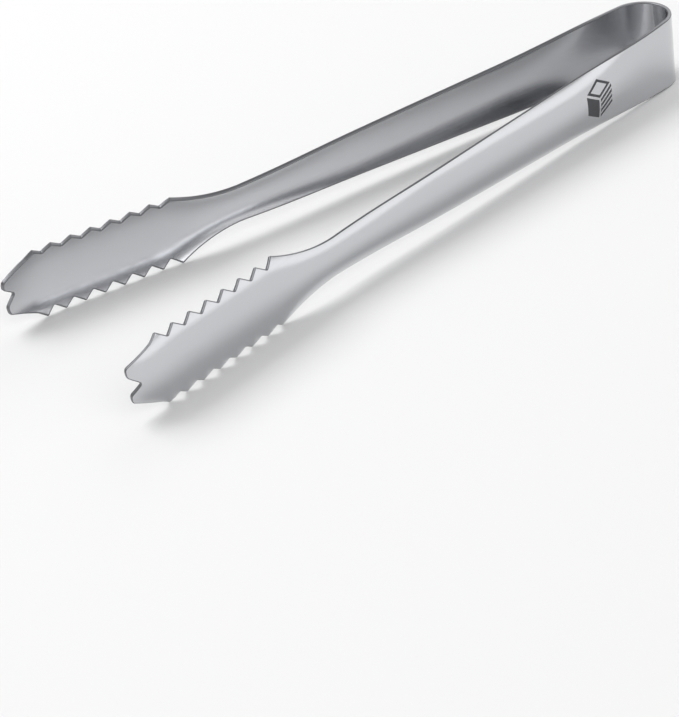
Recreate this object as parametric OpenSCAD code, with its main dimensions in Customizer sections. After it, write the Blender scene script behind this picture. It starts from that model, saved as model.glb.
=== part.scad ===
// Sprung ice tongs: one strip of stainless sheet, bent into a bow at one end, with two trough-shaped arms
// that end in toothed jaws. The strip lies on its edge: +Z is across the strip, the bow is at +X and the
// jaws are at -X. The front arm is on the -Y side and the rear arm on the +Y side.
// The origin is at the middle of the whole outline, on the surface that the strip's lower edge rests on.

/* [Strip] */
// Thickness of the sheet steel
sheet_t = 1; // [0.8:0.1:1.2]
// Width of the strip round the bow
bow_w = 18; // [16:0.5:20]
// Width of the strip at the neck, just behind the jaw
neck_w = 9.2; // [8:0.2:11]
// Width of the jaw across its tooth tips
jaw_w = 17.4; // [16:0.2:18]
// Radius of the trough pressed across the arms
arm_trough_r = 17; // [15:1:40]
// Radius of the trough at the neck
neck_trough_r = 10; // [9:1:40]
// Radius of the trough along the middle of a jaw
jaw_trough_r = 28; // [24:1:40]
// How much more closely the trough is curved towards its edges
edge_curl = 1; // [0:0.1:1.2]
// Extra closeness of the trough at the tip of the jaw, as a share of its curvature
tip_cup = 0.4; // [0:0.1:0.6]

/* [Bow] */
// Radius of the bow, at the middle of the sheet
bow_r = 7.65; // [6.5:0.05:9]
// Gap at the seam between the bow and each arm, where the strip flexes
seam_gap = 0.12; // [0.1:0.01:0.2]

/* [Arms] */
// Distance along an arm from the bow to the neck
neck_at = 113; // [100:1:125]
// Angle by which each arm leans outwards where it leaves the bow
splay_bow = 9.6; // [6:0.2:12]
// Angle by which each arm leans outwards along the handle
splay_handle = 4.8; // [2:0.2:7]
// Angle by which each arm leans outwards at the jaw
splay_jaw = 9.2; // [6:0.2:12]
// How much the edges of the handle are drawn in ahead of a straight taper
waist_draw = 0.68; // [0:0.02:0.8]

/* [Jaws] */
// Number of teeth along each edge of a jaw
teeth = 8; // [6:1:9]
// Distance from one tooth to the next
tooth_pitch = 4.93; // [4.5:0.01:5.4]
// Depth of a tooth
tooth_depth = 1.7; // [1:0.1:2.2]
// Distance along the arm from the neck to the first tooth
flare_l = 17.4; // [14:0.2:20]
// Distance from the last tooth to the crest of the two tip lobes
nose_l = 9.2; // [8:0.2:11]
// Distance of a lobe's crest from the middle of the strip
lobe_w = 3.1; // [2.5:0.1:3.6]
// Depth of the notch between the two lobes
notch_depth = 2.7; // [1.5:0.1:3.2]
// Angle by which the tip of the jaw curls inwards
tip_curl = 23; // [0:1:26]

/* [Hidden] */
$fn = 96;

steel = "#b4b6ba";
bright_steel = "#c6c8cc";

// Stations along the strip, measured from the end of the bow
first_tooth = neck_at + flare_l;
last_tooth = first_tooth + (teeth - 1) * tooth_pitch;
jaw_seam = neck_at + 0.7 * flare_l;
curl_start = last_tooth - 5;
lobe_at = last_tooth + nose_l;
notch_at = lobe_at - notch_depth;

// The shoulder is where the last tooth's outer flank meets the straight side of the nose
shoulder_at = last_tooth + 0.42 * tooth_pitch;
shoulder_w = jaw_w / 2 - 0.84 * tooth_depth;
corner_at = lobe_at - 1.1;
corner_w = lobe_w + 1.4;

// Lean of the strip from the length axis, as [station, angle]
LEAN = [
    [0, splay_bow],
    [0.4 * neck_at, splay_handle],
    [0.8 * neck_at, splay_handle],
    [first_tooth, splay_jaw],
    [curl_start, splay_jaw],
    [lobe_at, splay_jaw - tip_curl],
];
// Curvature of the trough across the strip, as [station, 1/radius]; the strip is flat where it meets the bow
CUP = [
    [0, 0],
    [0.35 * neck_at, 1 / arm_trough_r],
    [0.7 * neck_at, 1 / arm_trough_r],
    [neck_at, 1 / neck_trough_r],
    [first_tooth + tooth_pitch, 1 / jaw_trough_r],
    [curl_start, 1 / jaw_trough_r],
    [lobe_at, (1 + tip_cup) / jaw_trough_r],
];

function ease(t) = (1 - cos(180 * t)) / 2;

// Value at station s of a list of [station, value], passing smoothly from each value to the next
function along(list, s, i = 0) =
    i >= len(list) - 1 ? list[len(list) - 1][1]
    : s > list[i + 1][0] ? along(list, s, i + 1)
    : list[i][1] + (list[i + 1][1] - list[i][1]) * ease(max(0, s - list[i][0]) / (list[i + 1][0] - list[i][0]));

// Path of the middle of the sheet, seen from above, as [station, x, y] once every millimetre
track_step = 1;
TRACK = [
    for (
        s = 0, x = bow_r * (sin(splay_bow) - 1), y = bow_r * cos(splay_bow);
        s <= lobe_at + 2 * track_step;
        x = x - track_step * cos(along(LEAN, s + track_step / 2)),
        y = y + track_step * sin(along(LEAN, s + track_step / 2)),
        s = s + track_step
    ) [s, x, y]
];
TRACK_X = [for (p = TRACK) [p[0], p[1]]];
TRACK_Y = [for (p = TRACK) [p[0], p[2]]];

// Point of the strip at station s and height z from its middle, shifted by half_t along the sheet's normal
function skin(s, z, half_t) =
    let (
        lean = along(LEAN, s),
        cup = along(CUP, s),
        slope = atan(cup * (z + 4 * edge_curl * pow(z, 3) / pow(bow_w, 2))),
        out = half_t * cos(slope) - cup * (pow(z, 2) / 2 + edge_curl * pow(z, 4) / pow(bow_w, 2))
    )
    [
        lookup(s, TRACK_X) + out * sin(lean),
        lookup(s, TRACK_Y) + out * cos(lean),
        z + half_t * sin(slope)
    ];

// Half of the strip's width at station s
function taper(q) = (1 - q) * (1 - waist_draw * q * pow(1 - q, 2));
function handle_w(s) = neck_w / 2 + (bow_w - neck_w) / 2 * taper(s / neck_at);
function flare_w(s) = neck_w / 2 + (jaw_w - neck_w) / 2 * pow((s - neck_at) / flare_l, 2);
function tooth_w(s) = jaw_w / 2 - tooth_depth * (1 - abs(1 - 2 * ((s - first_tooth) / tooth_pitch % 1)));
function nose_w(s) = lookup(s, [[last_tooth, jaw_w / 2], [shoulder_at, shoulder_w], [corner_at, corner_w]]);
function half_w(s) =
    s <= neck_at ? handle_w(s)
    : s <= first_tooth ? flare_w(s)
    : s < last_tooth ? tooth_w(s)
    : nose_w(s);

// Station of the jaw's end at distance w from its middle: a notch, a lobe and a rounded corner
function end_at(w) =
    w < lobe_w ? notch_at + notch_depth * ease(w / lobe_w)
    : lobe_at - (lobe_at - corner_at) * (1 - sqrt(max(0, 1 - pow((w - lobe_w) / (corner_w - lobe_w), 2))));

// Closed sheet between an outer and an inner grid of points, both as rows along the strip
module sheet_solid(outer, inner) {
    rows = len(outer);
    cols = len(outer[0]);
    all = [for (row = outer) each row, for (row = inner) each row];
    under = rows * cols;
    function at(r, c) = r * cols + c;
    skins = [
        for (r = [0:rows - 2], c = [0:cols - 2]) each [
            [at(r, c), at(r + 1, c), at(r + 1, c + 1)],
            [at(r, c), at(r + 1, c + 1), at(r, c + 1)],
            [under + at(r, c), under + at(r + 1, c + 1), under + at(r + 1, c)],
            [under + at(r, c), under + at(r, c + 1), under + at(r + 1, c + 1)]
        ]
    ];
    sides = [
        for (r = [0:rows - 2]) each [
            [at(r, 0), under + at(r, 0), under + at(r + 1, 0)],
            [at(r, 0), under + at(r + 1, 0), at(r + 1, 0)],
            [at(r, cols - 1), at(r + 1, cols - 1), under + at(r + 1, cols - 1)],
            [at(r, cols - 1), under + at(r + 1, cols - 1), under + at(r, cols - 1)]
        ]
    ];
    ends = [
        for (c = [0:cols - 2]) each [
            [at(0, c), at(0, c + 1), under + at(0, c + 1)],
            [at(0, c), under + at(0, c + 1), under + at(0, c)],
            [at(rows - 1, c), under + at(rows - 1, c), under + at(rows - 1, c + 1)],
            [at(rows - 1, c), under + at(rows - 1, c + 1), at(rows - 1, c + 1)]
        ]
    ];
    polyhedron(points = all, faces = concat(skins, sides, ends), convexity = 8);
}

// Grid of one arm, from the seam at the bow to the seam at the jaw
arm_rows = 36;
arm_cols = 12;
function arm_grid(half_t) = [
    for (i = [0:arm_rows])
    let (s = seam_gap + (jaw_seam - seam_gap) * i / arm_rows)
    [for (j = [0:arm_cols]) skin(s, half_w(s) * (2 * j / arm_cols - 1), half_t)]
];

// Stations of the jaw's rows: up the flare, then every tooth tip and root, to the last root
flare_rows = 3;
jaw_stations = [
    for (i = [0:flare_rows - 1]) jaw_seam + (first_tooth - jaw_seam) * i / flare_rows,
    for (i = [0:2 * teeth - 3]) first_tooth + i * tooth_pitch / 2
];
// Stations of the nose's side edges, past the last root
nose_from = last_tooth - tooth_pitch / 2;
nose_stations = [
    nose_from,
    last_tooth,
    shoulder_at,
    for (i = [1:4]) shoulder_at + (corner_at - shoulder_at) * i / 4
];
jaw_cols = 20;

// Columns crowd towards the edges, where the lobes round off
function across(j) = sin(90 * (2 * j / jaw_cols - 1)) * 0.25 + (2 * j / jaw_cols - 1) * 0.75;

function jaw_grid(half_t) = [
    for (s = jaw_stations) [for (j = [0:jaw_cols]) skin(s, half_w(s) * across(j), half_t)],
    for (side_s = nose_stations) [
        for (j = [0:jaw_cols])
        let (
            gone = (side_s - nose_from) / (corner_at - nose_from),
            s = nose_from + gone * (end_at(corner_w * abs(across(j))) - nose_from)
        )
        skin(s, half_w(side_s) * across(j), half_t)
    ]
];

// The farthest point of the jaws sets the middle of the outline
far_x = min([for (row = concat(jaw_grid(sheet_t / 2), jaw_grid(-sheet_t / 2)), p = row) p[0]]);
mid_x = (far_x + sheet_t / 2) / 2;
total_l = sheet_t / 2 - far_x;
echo(total_l = total_l, mid_x = mid_x, hinge = [TRACK[0][1] - mid_x, TRACK[0][2]], bow_centre = -bow_r - mid_x);

module place() {
    translate([-mid_x, 0, bow_w / 2]) children();
}

module spring_bow() {
    color(steel)
    translate([-bow_r - mid_x, 0, 0])
    rotate([0, 0, splay_bow - 90])
    rotate_extrude(angle = 180 - 2 * splay_bow)
    translate([bow_r - sheet_t / 2, 0])
    square([sheet_t, bow_w]);
}

module rear_arm() {
    color(steel) place() sheet_solid(arm_grid(sheet_t / 2), arm_grid(-sheet_t / 2));
}

module front_arm() {
    mirror([0, 1, 0]) rear_arm();
}

module rear_jaw() {
    color(bright_steel) place() sheet_solid(jaw_grid(sheet_t / 2), jaw_grid(-sheet_t / 2));
}

module front_jaw() {
    mirror([0, 1, 0]) rear_jaw();
}

spring_bow();
front_arm();
rear_arm();
front_jaw();
rear_jaw();
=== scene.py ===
"""Sprung ice tongs in polished stainless sheet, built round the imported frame.

The strip is drawn flat, as a blank with an outline, and every point of it is then carried onto the bent
strip: station s runs along the strip from the end of the bow to the tip, w runs across it, and h goes
through the sheet. Lengths are in metres.
"""
import math

import bmesh
import bpy
import numpy as np
from mathutils import Matrix, Vector


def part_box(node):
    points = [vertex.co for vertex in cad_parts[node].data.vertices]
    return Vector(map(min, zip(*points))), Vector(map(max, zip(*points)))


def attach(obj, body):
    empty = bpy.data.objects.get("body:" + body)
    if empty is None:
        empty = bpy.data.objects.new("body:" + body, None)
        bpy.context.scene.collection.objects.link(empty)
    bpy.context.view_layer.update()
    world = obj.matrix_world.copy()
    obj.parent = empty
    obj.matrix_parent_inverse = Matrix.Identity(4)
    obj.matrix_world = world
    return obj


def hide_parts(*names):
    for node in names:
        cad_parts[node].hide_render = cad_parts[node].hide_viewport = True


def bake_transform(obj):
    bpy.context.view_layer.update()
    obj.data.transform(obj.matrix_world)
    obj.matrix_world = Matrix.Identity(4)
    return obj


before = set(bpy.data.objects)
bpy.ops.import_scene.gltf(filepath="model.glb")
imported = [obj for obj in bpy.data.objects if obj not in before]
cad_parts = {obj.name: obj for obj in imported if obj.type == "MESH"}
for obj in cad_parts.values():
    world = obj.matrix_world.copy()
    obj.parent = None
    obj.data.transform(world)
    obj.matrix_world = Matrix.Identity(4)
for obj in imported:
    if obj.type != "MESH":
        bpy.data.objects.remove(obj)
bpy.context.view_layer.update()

MM = 0.001

# Sizes of the strip
SHEET_T = 1.0 * MM
BOW_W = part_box("spring_bow")[1].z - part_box("spring_bow")[0].z
NECK_W = 9.2 * MM
JAW_W = 17.4 * MM
ARM_TROUGH_R = 17 * MM
NECK_TROUGH_R = 10 * MM
JAW_TROUGH_R = 28 * MM
EDGE_CURL = 1.0
TIP_CUP = 0.4
BOW_R = 7.65 * MM
NECK_AT = 113 * MM
WAIST_DRAW = 0.68

# Sizes of the jaws
TEETH = 8
TOOTH_PITCH = 4.93 * MM
TOOTH_DEPTH = 1.7 * MM
FLARE_L = 17.4 * MM
NOSE_L = 9.2 * MM
TIP_CURL = 23
SPLAY_BOW = 9.6
SPLAY_HANDLE = 4.8
SPLAY_JAW = 9.2

# Roundings of the blank's outline and of its cut edges
TOOTH_TIP_R = 0.32 * MM
TOOTH_ROOT_R = 0.42 * MM
SHOULDER_R = 2.0 * MM
LOBE_R = 1.15 * MM
NOTCH_R = 0.5 * MM
EDGE_R = 0.26 * MM

# Corners of the jaw's nose, before they are rounded
SHOULDER_ALONG = 0.42 * TOOTH_PITCH
SHOULDER_IN = 0.84 * TOOTH_DEPTH
LOBE_OUTER_W = 4.2 * MM
LOBE_INNER_W = 2.25 * MM
NOTCH_DEPTH = 2.9 * MM

# Stations along the strip
FIRST_TOOTH = NECK_AT + FLARE_L
LAST_TOOTH = FIRST_TOOTH + (TEETH - 1) * TOOTH_PITCH
JAW_SEAM = NECK_AT + 0.7 * FLARE_L
FLARE_END = FIRST_TOOTH - 0.5 * MM
CURL_START = LAST_TOOTH - 5 * MM
LOBE_AT = LAST_TOOTH + NOSE_L
TRACK_END = LOBE_AT + 3 * MM
APEX = -BOW_R * math.radians(90 - SPLAY_BOW)

# Angle of the strip from the length axis in degrees, at stations along it
LEAN = [
    (0, SPLAY_BOW),
    (0.4 * NECK_AT, SPLAY_HANDLE),
    (0.8 * NECK_AT, SPLAY_HANDLE),
    (FIRST_TOOTH, SPLAY_JAW),
    (CURL_START, SPLAY_JAW),
    (LOBE_AT, SPLAY_JAW - TIP_CURL),
]
# How tightly the trough is curved, at stations along the strip
CUP = [
    (0, 0),
    (0.35 * NECK_AT, 1 / ARM_TROUGH_R),
    (0.7 * NECK_AT, 1 / ARM_TROUGH_R),
    (NECK_AT, 1 / NECK_TROUGH_R),
    (FIRST_TOOTH + TOOTH_PITCH, 1 / JAW_TROUGH_R),
    (CURL_START, 1 / JAW_TROUGH_R),
    (LOBE_AT, (1 + TIP_CUP) / JAW_TROUGH_R),
]

# How finely the meshes are cut
HALF_COLUMNS = 18
ARM_ROW = 1.4 * MM
BOW_ROWS = 26
EDGE_STEPS = 4
ARC_STEP = math.radians(14)
FLARE_ROWS = 8
JAW_ROW = 0.8 * MM

# Steps for adding up the strip's path and for measuring the slope of its edge and of its surface
TRACK_STEP = 0.125 * MM
SLOPE_STEP = 0.05 * MM
SKIN_STEP = 0.02 * MM

# A point this near the middle line counts as on it
ON_MIDDLE = 0.001 * MM

# How much turning counts beside length where columns are shared out round the tip
TURN_SHARE = 1.2

# The higher this power, the fewer columns beside the edge follow the teeth
TOOTH_REACH = 5

SIDES = {"front": -1, "rear": 1}
MIRROR = np.array([1, -1])


# ---------------------------------------------------------------- the bent strip

def along(knots, s):
    """Value at station s of a list of (station, value), passing smoothly from each value to the next."""
    s = np.asarray(s, float)
    value = np.full(s.shape, float(knots[0][1]))
    for (a, va), (b, vb) in zip(knots, knots[1:]):
        part = np.clip((s - a) / (b - a), 0, 1)
        value += (vb - va) * (1 - np.cos(np.pi * part)) / 2
    return value


def lean(s):
    """Angle of the strip from the length axis, in radians: it grows to a right angle round the bow."""
    s = np.asarray(s, float)
    return np.radians(along(LEAN, s)) + np.maximum(-s, 0) / BOW_R


def make_track():
    """Path of the middle of the sheet seen from above, as stations, x and y."""
    s = np.arange(0, TRACK_END, TRACK_STEP)
    middle = lean(s[:-1] + TRACK_STEP / 2)
    apex_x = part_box("spring_bow")[1].x - SHEET_T / 2
    start_x = apex_x - BOW_R + BOW_R * math.sin(math.radians(SPLAY_BOW))
    start_y = BOW_R * math.cos(math.radians(SPLAY_BOW))
    x = start_x - np.r_[0, np.cumsum(np.cos(middle) * TRACK_STEP)]
    y = start_y + np.r_[0, np.cumsum(np.sin(middle) * TRACK_STEP)]
    return s, x, y


TRACK = make_track()
BOW_CENTRE_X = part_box("spring_bow")[1].x - SHEET_T / 2 - BOW_R


def skin(s, w, h):
    """Points of the rear half of the strip: s along it, w across it, h out from the middle of the sheet."""
    s, w, h = np.broadcast_arrays(np.asarray(s, float), w, h)
    turn = lean(s)
    on_bow = s < 0
    x = np.where(on_bow, BOW_CENTRE_X + BOW_R * np.sin(turn), np.interp(s, TRACK[0], TRACK[1]))
    y = np.where(on_bow, BOW_R * np.cos(turn), np.interp(s, TRACK[0], TRACK[2]))
    cup = along(CUP, s)
    slope = np.arctan(cup * (w + 4 * EDGE_CURL * w**3 / BOW_W**2))
    out = h * np.cos(slope) - cup * (w**2 / 2 + EDGE_CURL * w**4 / BOW_W**2)
    return np.stack([x + out * np.sin(turn), y + out * np.cos(turn), BOW_W / 2 + w + h * np.sin(slope)], -1)


def unit(v):
    return v / np.linalg.norm(v, axis=-1, keepdims=True)


def skin_axes(s, w, h):
    """Directions along the strip, across it and out of its outer face, at the same points."""
    down = unit(skin(s + SKIN_STEP, w, h) - skin(s - SKIN_STEP, w, h))
    across = unit(skin(s, w + SKIN_STEP, h) - skin(s, w - SKIN_STEP, h))
    return down, across, unit(np.cross(down, across))


# ---------------------------------------------------------------- the blank's outline

def handle_half_width(s):
    """Half of the strip's width from the bow to the neck, drawn in a little between them."""
    q = np.clip(s / NECK_AT, 0, 1)
    return NECK_W / 2 + (BOW_W - NECK_W) / 2 * (1 - q) * (1 - WAIST_DRAW * q * (1 - q) ** 2)


def half_width(s):
    """Half of the strip's width, up to the first tooth."""
    flare = (JAW_W - NECK_W) / 2 * (np.clip(s - NECK_AT, 0, None) / FLARE_L) ** 2
    return handle_half_width(s) + flare


def smooth_side(stations):
    """Points of an edge that has no corners, with the outward normal of each."""
    ahead, behind = half_width(stations + SLOPE_STEP), half_width(stations - SLOPE_STEP)
    slope = (ahead - behind) / (2 * SLOPE_STEP)
    slope[stations <= 0] = 0
    points = np.stack([stations, half_width(stations)], -1)
    return points, unit(np.stack([-slope, np.ones_like(slope)], -1))


def jaw_corners():
    """Corners of a jaw's upper half outline, from the first tooth to the notch, as (s, w, rounding)."""
    tip_w, root_w = JAW_W / 2, JAW_W / 2 - TOOTH_DEPTH
    corners = []
    for i in range(TEETH):
        tip = FIRST_TOOTH + i * TOOTH_PITCH
        corners.append((tip, tip_w, TOOTH_TIP_R))
        if i < TEETH - 1:
            corners.append((tip + TOOTH_PITCH / 2, root_w, TOOTH_ROOT_R))
    corners += [
        (LAST_TOOTH + SHOULDER_ALONG, tip_w - SHOULDER_IN, SHOULDER_R),
        (LOBE_AT, LOBE_OUTER_W, LOBE_R),
        (LOBE_AT, LOBE_INNER_W, LOBE_R),
        (LOBE_AT - NOTCH_DEPTH, 0, NOTCH_R),
    ]
    return corners


def rounded(before, corners, after):
    """Points, outward normals and corner numbers along a line whose corners are each rounded by an arc."""
    line = [np.array(before)] + [np.array(c[:2]) for c in corners] + [np.array(after)]
    points, normals, groups = [], [], []
    for k, (_, _, radius) in enumerate(corners):
        come, leave = unit(line[k + 1] - line[k]), unit(line[k + 2] - line[k + 1])
        turn = math.atan2(come[0] * leave[1] - come[1] * leave[0], come @ leave)
        back = radius * math.tan(abs(turn) / 2)
        side = 1 if turn > 0 else -1
        centre = line[k + 1] - come * back + side * radius * np.array([-come[1], come[0]])
        steps = max(2, math.ceil(abs(turn) / ARC_STEP))
        for i in range(steps + 1):
            a = turn * i / steps
            heading = np.array([come[0] * math.cos(a) - come[1] * math.sin(a),
                                come[0] * math.sin(a) + come[1] * math.cos(a)])
            outward = np.array([-heading[1], heading[0]])
            points.append(centre - side * radius * outward)
            normals.append(outward)
            groups.append(k)
    return np.array(points), np.array(normals), np.array(groups)


def fill_straights(points, normals, longest):
    """Adds points along the straight stretches, so that no step is longer than a given length."""
    out_p, out_n = [points[0]], [normals[0]]
    for k in range(1, len(points)):
        pieces = max(1, math.ceil(np.linalg.norm(points[k] - points[k - 1]) / longest))
        for i in range(1, pieces + 1):
            share = i / pieces
            out_p.append(points[k - 1] + (points[k] - points[k - 1]) * share)
            out_n.append(unit(normals[k - 1] + (normals[k] - normals[k - 1]) * share))
    return np.array(out_p), np.array(out_n)


def jaw_side():
    """A jaw's edge from its seam to the nose's outer corner, and on to the notch, each with normals."""
    flare = np.linspace(JAW_SEAM, FLARE_END, FLARE_ROWS)
    flare_p, flare_n = smooth_side(flare)
    corners = jaw_corners()
    notch = corners[-1]
    points, normals, groups = rounded(flare_p[-1], corners, (LOBE_AT, -LOBE_INNER_W))
    above = points[:, 1] > ON_MIDDLE
    points, normals, groups = points[above], normals[above], groups[above]
    half_angle = math.atan2(corners[-2][1], corners[-2][0] - notch[0])
    notch_floor = np.array([notch[0] + NOTCH_R / math.sin(half_angle) - NOTCH_R, 0.0])
    lobe = np.nonzero(groups == len(corners) - 3)[0][0]
    side_p, side_n = fill_straights(np.vstack([flare_p[-1:], points[:lobe + 1]]),
                                    np.vstack([flare_n[-1:], normals[:lobe + 1]]), JAW_ROW)
    end_p, end_n = spread(np.vstack([points[lobe:], notch_floor]),
                          np.vstack([normals[lobe:], [1.0, 0.0]]), HALF_COLUMNS)
    return (np.vstack([flare_p, side_p[1:]]), np.vstack([flare_n, side_n[1:]])), (end_p, end_n)


def spread(points, normals, count):
    """The same line with count steps, shared out by length and by how sharply it turns."""
    length = np.linalg.norm(np.diff(points, axis=0), axis=1)
    turning = np.linalg.norm(np.diff(normals, axis=0), axis=1)
    measure = np.r_[0, np.cumsum(length / length.sum() + TURN_SHARE * turning / turning.sum())]
    at = np.linspace(0, measure[-1], count + 1)

    def pick(values):
        return np.stack([np.interp(at, measure, values[:, k]) for k in (0, 1)], -1)

    return pick(points), unit(pick(normals))


# ---------------------------------------------------------------- meshes

def straight_rows(points, normals, base_w):
    """Rows of a face between an edge and its mirror image. Only the outer columns follow the teeth."""
    inner = points - EDGE_R * normals
    t = np.linspace(-1, 1, 2 * HALF_COLUMNS + 1)
    swing = inner[:, 1:2] - base_w[:, None]
    w = t * base_w[:, None] + swing * np.sign(t) * np.abs(t) ** TOOTH_REACH
    s = np.repeat(inner[:, :1], len(t), axis=1)
    return np.stack([s, w], -1)


def nose_rows(first_row, side, end):
    """Rows of the nose: a patch stretched between a straight row, two side edges and the notched end."""
    side_in = side[0] - EDGE_R * side[1]
    end_in = end[0] - EDGE_R * end[1]
    last_row = np.vstack([end_in * MIRROR, end_in[-2::-1]])
    length = np.r_[0, np.cumsum(np.linalg.norm(np.diff(side_in, axis=0), axis=1))]
    u = (length / length[-1])[:, None, None]
    v = np.linspace(0, 1, len(first_row))[None, :, None]
    low, high = (side_in * MIRROR)[:, None, :], side_in[:, None, :]
    ruled = (1 - u) * first_row[None] + u * last_row[None] + (1 - v) * low + v * high
    corners = ((1 - u) * (1 - v) * low[0] + (1 - u) * v * high[0]
               + u * (1 - v) * low[-1] + u * v * high[-1])
    return (ruled - corners)[1:]


def edge_profile():
    """Steps round a cut edge from the outer face to the inner one, as (inset, height, angle turned)."""
    angles = np.linspace(0, math.pi / 2, EDGE_STEPS + 1)
    outer = [(EDGE_R * (1 - math.sin(a)), SHEET_T / 2 - EDGE_R * (1 - math.cos(a)), a) for a in angles]
    return outer + [(inset, -height, math.pi - a) for inset, height, a in outer[::-1]]


class Solid:
    """Vertices with their normals and their place on the flat blank, and faces, gathered for one piece."""

    def __init__(self):
        self.co, self.normal, self.flat, self.faces, self.cut = [], [], [], [], []

    def add(self, s, w, h, normal):
        """Adds an array of points and returns their numbers in the same shape."""
        start = len(self.co)
        self.co += list(skin(s, w, h).reshape(-1, 3))
        self.normal += list(normal.reshape(-1, 3))
        self.flat += list(np.stack([s, w], -1).reshape(-1, 2))
        return np.arange(start, len(self.co)).reshape(s.shape)

    def quads(self, ids, cut):
        """Faces between neighbours in an array of vertex numbers."""
        corners = np.stack([ids[:-1, :-1], ids[1:, :-1], ids[1:, 1:], ids[:-1, 1:]], -1).reshape(-1, 4)
        self.faces += corners.tolist()
        self.cut += [cut] * len(corners)

    def cap(self, ring):
        """One face that closes the strip where it is cut square at a seam."""
        self.faces.append([int(v) for v in ring])
        self.cut.append(1)


def cut_edge(solid, outer_rim, inner_rim, points, normals):
    """The rounded edge left where the blank was cut, from the outer face's rim to the inner face's."""
    rings = [outer_rim]
    for inset, height, angle in edge_profile()[1:-1]:
        at = points - inset * normals
        down, across, out = skin_axes(at[:, 0], at[:, 1], height)
        away = normals[:, :1] * down + normals[:, 1:] * across
        facing = math.cos(angle) * out + math.sin(angle) * away
        rings.append(solid.add(at[:, 0], at[:, 1], height, facing))
    rings.append(inner_rim)
    solid.quads(np.array(rings), cut=1)
    return np.array(rings)


def both_faces(solid, rows):
    """The outer and the inner face of the sheet over the same rows of points."""
    ids = []
    for half in (SHEET_T / 2, -SHEET_T / 2):
        out = skin_axes(rows[..., 0], rows[..., 1], half)[2]
        ids.append(solid.add(rows[..., 0], rows[..., 1], half, out * math.copysign(1, half)))
        solid.quads(ids[-1], cut=0)
    return ids


def strip_piece(name, side, stations):
    """A plain stretch of the strip: two faces, two cut edges and a square end at each seam."""
    solid = Solid()
    points, normals = smooth_side(stations)
    outer, inner = both_faces(solid, straight_rows(points, normals, points[:, 1] - EDGE_R))
    top = cut_edge(solid, outer[:, -1], inner[:, -1], points, normals)
    low = cut_edge(solid, outer[:, 0], inner[:, 0], points * MIRROR, normals * MIRROR)
    for row in (0, -1):
        solid.cap([*outer[row], *top[1:-1, row], *inner[row][::-1], *low[1:-1, row][::-1]])
    return to_object(name, side, solid)


def jaw_piece(name, side):
    """A jaw: toothed along both edges, with a forked tip, and cut square only at its seam with the arm."""
    solid = Solid()
    (side_p, side_n), (end_p, end_n) = jaw_side()
    root_w = JAW_W / 2 - TOOTH_DEPTH - EDGE_R
    nose = np.nonzero(side_p[:, 0] >= LAST_TOOTH - TOOTH_PITCH / 2)[0][0]
    straight = straight_rows(side_p[:nose + 1], side_n[:nose + 1],
                             np.minimum(side_p[:nose + 1, 1] - EDGE_R, root_w))
    rows = np.vstack([straight, nose_rows(straight[-1], (side_p[nose:], side_n[nose:]), (end_p, end_n))])
    outer, inner = both_faces(solid, rows)
    half_p, half_n = np.vstack([side_p, end_p[1:]]), np.vstack([side_n, end_n[1:]])
    whole_p = np.vstack([half_p * MIRROR, half_p[-2::-1]])
    whole_n = np.vstack([half_n * MIRROR, half_n[-2::-1]])
    rims = [np.r_[ids[:, 0], ids[-1, 1:-1], ids[::-1, -1]] for ids in (outer, inner)]
    rings = cut_edge(solid, *rims, whole_p, whole_n)
    solid.cap([*outer[0], *rings[1:-1, -1], *inner[0][::-1], *rings[1:-1, 0][::-1]])
    return to_object(name, side, solid)


def to_object(name, side, solid):
    """A mesh object with normals taken from the bent surface, and the flat blank, in metres, as its UVs."""
    mesh = bpy.data.meshes.new(name)
    mesh.from_pydata((np.array(solid.co) * (1, side, 1)).tolist(), [], solid.faces)
    mesh.polygons.foreach_set("use_smooth", [True] * len(solid.faces))
    mesh.polygons.foreach_set("material_index", solid.cut)
    work = bmesh.new()
    work.from_mesh(mesh)
    bmesh.ops.recalc_face_normals(work, faces=work.faces)
    work.to_mesh(mesh)
    work.free()
    loops = np.zeros(len(mesh.loops), np.int32)
    mesh.loops.foreach_get("vertex_index", loops)
    flat = mesh.uv_layers.new(name="blank")
    flat.data.foreach_set("uv", np.array(solid.flat)[loops].astype(np.float32).ravel())
    mesh.normals_split_custom_set_from_vertices((np.array(solid.normal) * (1, side, 1)).tolist())
    obj = bpy.data.objects.new(name, mesh)
    bpy.context.scene.collection.objects.link(obj)
    return obj


# ---------------------------------------------------------------- the mark

MARK_AT = (26.6 * MM, 0.2 * MM)
MARK_R = 5.4 * MM
MARK_PROUD = 0.015 * MM
MARK_SUNK = 0.05 * MM
MARK_GAP = 0.12
MARK_FRAME = 1.43 * MM
MARK_BARS = 4
BAR_SHARE = 0.55
MARK_CUTS = 6
FRAME_CUTS = 3


def mark_layers(solid, at):
    """Upper and under side of the mark on the bent sheet, at points (right, up) from its middle."""
    s, w = MARK_AT[0] - at[..., 0], MARK_AT[1] + at[..., 1]
    heights = (SHEET_T / 2 + MARK_PROUD, SHEET_T / 2 - MARK_SUNK)
    return [solid.add(s, w, height, skin_axes(s, w, height)[2]) for height in heights]


def mark_patch(solid, corners):
    """A four-sided patch of the mark."""
    shares = np.linspace(0, 1, MARK_CUTS + 1)
    u, v = np.meshgrid(shares, shares, indexing="ij")
    a, b, c, d = (np.array(p) for p in corners)
    at = (a * ((1 - u) * (1 - v))[..., None] + b * (u * (1 - v))[..., None]
          + c * (u * v)[..., None] + d * ((1 - u) * v)[..., None])
    layers = mark_layers(solid, at)
    for ids in layers:
        solid.quads(ids, cut=0)
    top, low = (np.r_[ids[:, 0], ids[-1, 1:], ids[-2::-1, -1], ids[0, -2:0:-1]] for ids in layers)
    solid.quads(np.array([np.r_[top, top[:1]], np.r_[low, low[:1]]]), cut=0)


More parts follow.
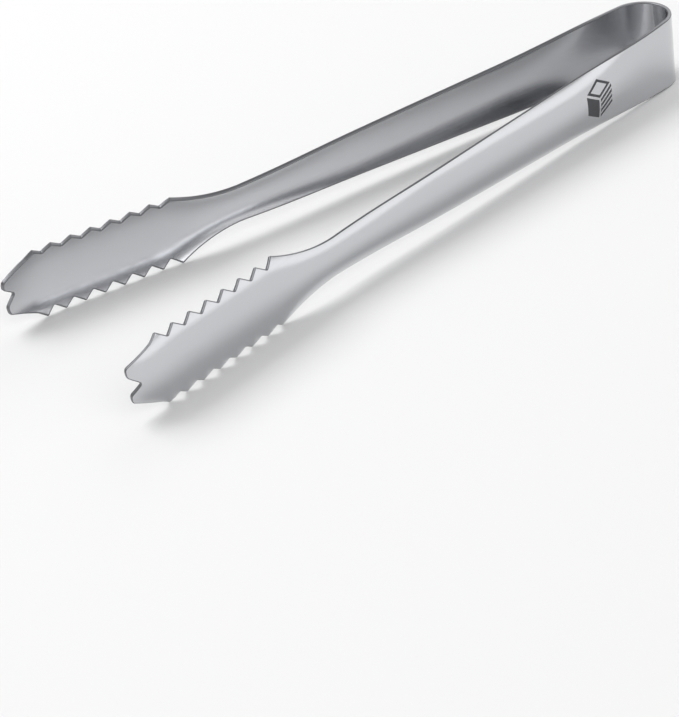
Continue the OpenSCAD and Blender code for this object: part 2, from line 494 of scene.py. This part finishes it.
def mark_frame(solid, outside, inside):
    """A closed frame of the mark, between two outlines with the same number of corners."""
    share = np.arange(MARK_CUTS)[:, None] / MARK_CUTS
    outer, inner = (np.vstack([a + (b - a) * share for a, b in zip(line, line[1:] + line[:1])])[:, None]
                    for line in (outside, inside))
    v = np.linspace(0, 1, FRAME_CUTS + 1)[None, :, None]
    layers = [np.vstack([ids, ids[:1]]) for ids in mark_layers(solid, outer * (1 - v) + inner * v)]
    for ids in layers:
        solid.quads(ids, cut=0)
    for rim in (0, -1):
        solid.quads(np.array([ids[:, rim] for ids in layers]), cut=0)


def ice_cube_mark(side):
    """A plain ice cube seen corner-on: a solid left face, a barred right face and an outlined top."""
    solid = Solid()
    hexagon = [MARK_R * np.array([math.sin(a), math.cos(a)]) for a in np.radians(np.arange(0, 360, 60))]
    centre = np.zeros(2)
    left = [hexagon[5], centre, hexagon[3], hexagon[4]]
    right = [centre, hexagon[1], hexagon[2], hexagon[3]]
    top = [hexagon[0], hexagon[1], centre, hexagon[5]]

    def drawn_in(face, gap):
        middle = sum(face) / 4
        return [middle + (p - middle) * (1 - gap) for p in face]

    mark_patch(solid, drawn_in(left, MARK_GAP))
    a, b, c, d = drawn_in(right, MARK_GAP)
    pitches = MARK_BARS - 1 + BAR_SHARE
    for i in range(MARK_BARS):
        start, stop = i / pitches, (i + BAR_SHARE) / pitches
        mark_patch(solid, [a + (d - a) * start, b + (c - b) * start,
                           b + (c - b) * stop, a + (d - a) * stop])
    mark_frame(solid, drawn_in(top, MARK_GAP), drawn_in(top, MARK_GAP + MARK_FRAME / MARK_R))
    return to_object("ice_cube_mark", side, solid)


# ---------------------------------------------------------------- materials

def linear(hex_colour):
    """An sRGB hex colour as linear RGBA."""
    parts = [int(hex_colour[i:i + 2], 16) / 255 for i in (1, 3, 5)]
    return [p / 12.92 if p <= 0.04045 else ((p + 0.055) / 1.055) ** 2.4 for p in parts] + [1.0]


def node(tree, kind, settings=None, **links):
    """Adds a node, with its settings by property or socket name, and its inputs linked by socket name."""
    made = tree.nodes.new(kind)
    for name, value in (settings or {}).items():
        if hasattr(made, name):
            setattr(made, name, value)
        else:
            made.inputs[name].default_value = value
    for name, source in links.items():
        tree.links.new(source, made.inputs[name])
    return made


def new_material(name):
    """An empty material and its node tree."""
    material = bpy.data.materials.new(name)
    material.use_nodes = True
    material.node_tree.nodes.clear()
    return material, material.node_tree


def polished_stainless():
    """Cold-rolled stainless sheet, polished along its length on a soft wheel. The wheel leaves a bright
    surface that mirrors its surroundings softly, more blurred across the lines than along them, with
    lengthwise lines and slow ripples where the sheet was pressed. The lines are drawn 0.5 mm apart, where
    real ones would be about 0.06 mm, because finer ones blend together at the size of the whole object."""
    material, tree = new_material("polished_stainless")
    line_gap, line_run = 0.5 * MM, 24 * MM
    ripple_gap, ripple_run = 14 * MM, 28 * MM
    blank = node(tree, "ShaderNodeUVMap", {"uv_map": "blank"})
    drawn = node(tree, "ShaderNodeMapping", {"Scale": (1 / line_run, 1 / line_gap, 1)},
                 Vector=blank.outputs["UV"])
    lines = node(tree, "ShaderNodeTexNoise", {"Scale": 1.0, "Detail": 3.0, "Roughness": 0.6},
                 Vector=drawn.outputs["Vector"])
    wide = node(tree, "ShaderNodeMapping", {"Scale": (1 / ripple_run, 1 / ripple_gap, 1)},
                Vector=blank.outputs["UV"])
    ripples = node(tree, "ShaderNodeTexNoise", {"Scale": 1.0, "Detail": 1.0}, Vector=wide.outputs["Vector"])
    gloss = node(tree, "ShaderNodeMapRange", {"To Min": 0.12, "To Max": 0.23}, Value=lines.outputs["Fac"])
    slow = node(tree, "ShaderNodeBump", {"Strength": 1.0, "Distance": 0.012 * MM},
                Height=ripples.outputs["Fac"])
    fine = node(tree, "ShaderNodeBump", {"Strength": 0.35, "Distance": 0.004 * MM},
                Height=lines.outputs["Fac"], Normal=slow.outputs["Normal"])
    grain = node(tree, "ShaderNodeTangent", {"direction_type": "UV_MAP", "uv_map": "blank"})
    shader = node(tree, "ShaderNodeBsdfPrincipled", {"Base Color": linear("#c8c9cc"), "Metallic": 1.0,
                                                     "Anisotropic": 0.6, "Anisotropic Rotation": 0.25},
                  Roughness=gloss.outputs["Result"], Normal=fine.outputs["Normal"],
                  Tangent=grain.outputs["Tangent"])
    node(tree, "ShaderNodeOutputMaterial", Surface=shader.outputs["BSDF"])
    return material


def sheared_edge_painted_shade():
    """The edge where the blank was sheared and then tumbled. Tearing left it matt, roughened by fine scores
    that are drawn upright, 0.15 mm apart. Its colour is painted darker than the steel of the faces, as
    painted shade, so that it outlines the bright faces as a thin dark line."""
    material, tree = new_material("sheared_stainless_edge_painted_shade")
    place = node(tree, "ShaderNodeTexCoord")
    score_gap, score_run = 0.15 * MM, 1.5 * MM
    scale = node(tree, "ShaderNodeMapping", {"Scale": (1 / score_gap, 1 / score_gap, 1 / score_run)},
                 Vector=place.outputs["Object"])
    scores = node(tree, "ShaderNodeTexNoise", {"Scale": 1.0, "Detail": 2.0}, Vector=scale.outputs["Vector"])
    gloss = node(tree, "ShaderNodeMapRange", {"To Min": 0.26, "To Max": 0.4}, Value=scores.outputs["Fac"])
    bump = node(tree, "ShaderNodeBump", {"Strength": 0.4, "Distance": 0.002 * MM},
                Height=scores.outputs["Fac"])
    # Painted shade: this base colour is darker than the faces' steel, so that the cut edges show as dark
    # outlines
    shader = node(tree, "ShaderNodeBsdfPrincipled", {"Base Color": linear("#7c7d80"), "Metallic": 1.0},
                  Roughness=gloss.outputs["Result"], Normal=bump.outputs["Normal"])
    node(tree, "ShaderNodeOutputMaterial", Surface=shader.outputs["BSDF"])
    return material


def laser_blackened():
    """Steel blackened by a marking laser: a thin dark oxide, dull beside the polish, faintly streaked by
    the passes of the beam, which are 0.08 mm apart."""
    material, tree = new_material("laser_blackened_steel")
    blank = node(tree, "ShaderNodeUVMap", {"uv_map": "blank"})
    pass_run, pass_gap = 1.2 * MM, 0.08 * MM
    passes = node(tree, "ShaderNodeMapping", {"Scale": (1 / pass_run, 1 / pass_gap, 1)},
                  Vector=blank.outputs["UV"])
    streaks = node(tree, "ShaderNodeTexNoise", {"Scale": 1.0, "Detail": 2.0},
                   Vector=passes.outputs["Vector"])
    colour = node(tree, "ShaderNodeMix", {"data_type": "RGBA"}, Factor=streaks.outputs["Fac"])
    # The colour sockets A, B and Result share their names with number sockets, so they are found by place
    colour.inputs[6].default_value = linear("#2f3033")
    colour.inputs[7].default_value = linear("#55565a")
    shader = node(tree, "ShaderNodeBsdfPrincipled", {"Metallic": 0.35, "Roughness": 0.5})
    tree.links.new(colour.outputs[2], shader.inputs["Base Color"])
    node(tree, "ShaderNodeOutputMaterial", Surface=shader.outputs["BSDF"])
    return material


# ---------------------------------------------------------------- the tongs


def finish_piece(piece, materials, body, replaced, bends):
    """Gives a piece its materials and hides the CAD part it replaces. A piece flagged as bending is not
    bent here:
    only its placement is baked into its mesh. Any other piece is tied to its CAD body.
    """
    for material in materials:
        piece.data.materials.append(material)
    if bends:
        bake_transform(piece)
    else:
        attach(piece, body)
    if replaced:
        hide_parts(replaced)


def build_tongs():
    """Both halves of the bow, both arms and both jaws, and the mark on the near arm."""
    steel = [polished_stainless(), sheared_edge_painted_shade()]
    bow_stations = np.linspace(APEX, 0, BOW_ROWS + 1)
    arm_stations = np.linspace(0, JAW_SEAM, math.ceil(JAW_SEAM / ARM_ROW) + 1)
    for label, side in SIDES.items():
        body = f"{label}_arm"
        bow_half = strip_piece(f"bow_{label}_half", side, bow_stations)
        finish_piece(bow_half, steel, body, "spring_bow", True)
        arm_strip = strip_piece(f"{label}_arm_strip", side, arm_stations)
        finish_piece(arm_strip, steel, body, f"{label}_arm", True)
        toothed_jaw = jaw_piece(f"{label}_toothed_jaw", side)
        finish_piece(toothed_jaw, steel, body, f"{label}_jaw", False)
    finish_piece(ice_cube_mark(SIDES["front"]), [laser_blackened()], "front_arm", None, True)


# ---------------------------------------------------------------- floor, light and camera

def pale_floor():
    """A wide sheet of pale paper under the tongs, which isn't part of the object."""
    material, tree = new_material("pale_matt_paper")
    shader = node(tree, "ShaderNodeBsdfPrincipled", {"Base Color": linear("#e6e6e6"), "Roughness": 0.9})
    node(tree, "ShaderNodeOutputMaterial", Surface=shader.outputs["BSDF"])
    half = 3.0
    mesh = bpy.data.meshes.new("floor")
    corners = [(-half, -half, 0), (half, -half, 0), (half, half, 0), (-half, half, 0)]
    mesh.from_pydata(corners, [], [(0, 1, 2, 3)])
    mesh.materials.append(material)
    floor = bpy.data.objects.new("floor", mesh)
    bpy.context.scene.collection.objects.link(floor)


# Softboxes: where each hangs, how wide and how tall it is, and its brightness beside the even dome
SOFTBOXES = {
    "side_softbox": ((2.3, 1.0, 1.4), (2.8, 1.2), 1.4),
    "overhead_softbox": ((-0.3, 0.75, 1.1), (1.0, 0.8), 4.7),
    "front_softbox": ((-0.2, -1.0, 1.0), (1.6, 0.8), 1.4),
    "front_low_softbox": ((0.9, -1.3, 0.28), (2.8, 0.56), 0.88),
}
DOME = 0.5


def softbox(name, place, size, glow):
    """A rectangular diffuser, facing the tongs, which the camera doesn't see."""
    data = bpy.data.lights.new(name, "AREA")
    data.shape = "RECTANGLE"
    data.size, data.size_y = size
    data.energy = glow * size[0] * size[1] * math.pi
    lamp = bpy.data.objects.new(name, data)
    facing = Vector(place).to_track_quat("Z", "Y").to_matrix().to_4x4()
    lamp.matrix_world = Matrix.Translation(place) @ facing
    lamp.visible_camera = False
    bpy.context.scene.collection.objects.link(lamp)


def soft_studio():
    """Softboxes above and behind, high to the side, and in front of the tongs, in an even white dome."""
    world = bpy.data.worlds.new("studio")
    world.use_nodes = True
    world.node_tree.nodes.clear()
    back = node(world.node_tree, "ShaderNodeBackground", {"Color": linear("#ffffff"), "Strength": DOME})
    node(world.node_tree, "ShaderNodeOutputWorld", Surface=back.outputs["Background"])
    bpy.context.scene.world = world
    bpy.context.scene.view_settings.view_transform = "Standard"
    for name, (place, size, glow) in SOFTBOXES.items():
        softbox(name, place, size, glow)


CAMERA_AT = (-0.25434, -0.37163, 0.25823)
CAMERA_AZIMUTH = -32.08
CAMERA_ELEVATION = 33.43
CAMERA_ROLL = -9.71
LENS = 110.2


def camera():
    """The camera stands to the front left and above, rolled a little, with a long lens."""
    data = bpy.data.cameras.new("camera")
    data.sensor_width = 36
    data.lens = LENS
    data.clip_start, data.clip_end = 0.01, 20
    made = bpy.data.objects.new("camera", data)
    azimuth, elevation, roll = (math.radians(a) for a in (CAMERA_AZIMUTH, CAMERA_ELEVATION, CAMERA_ROLL))
    level = math.cos(elevation)
    back = Vector((math.sin(azimuth) * level, -math.cos(azimuth) * level, math.sin(elevation)))
    turn = (-back).to_track_quat("-Z", "Y").to_matrix() @ Matrix.Rotation(roll, 3, "Z")
    made.matrix_world = Matrix.Translation(CAMERA_AT) @ turn.to_4x4()
    bpy.context.scene.collection.objects.link(made)
    bpy.context.scene.camera = made


camera()
build_tongs()
pale_floor()
soft_studio()
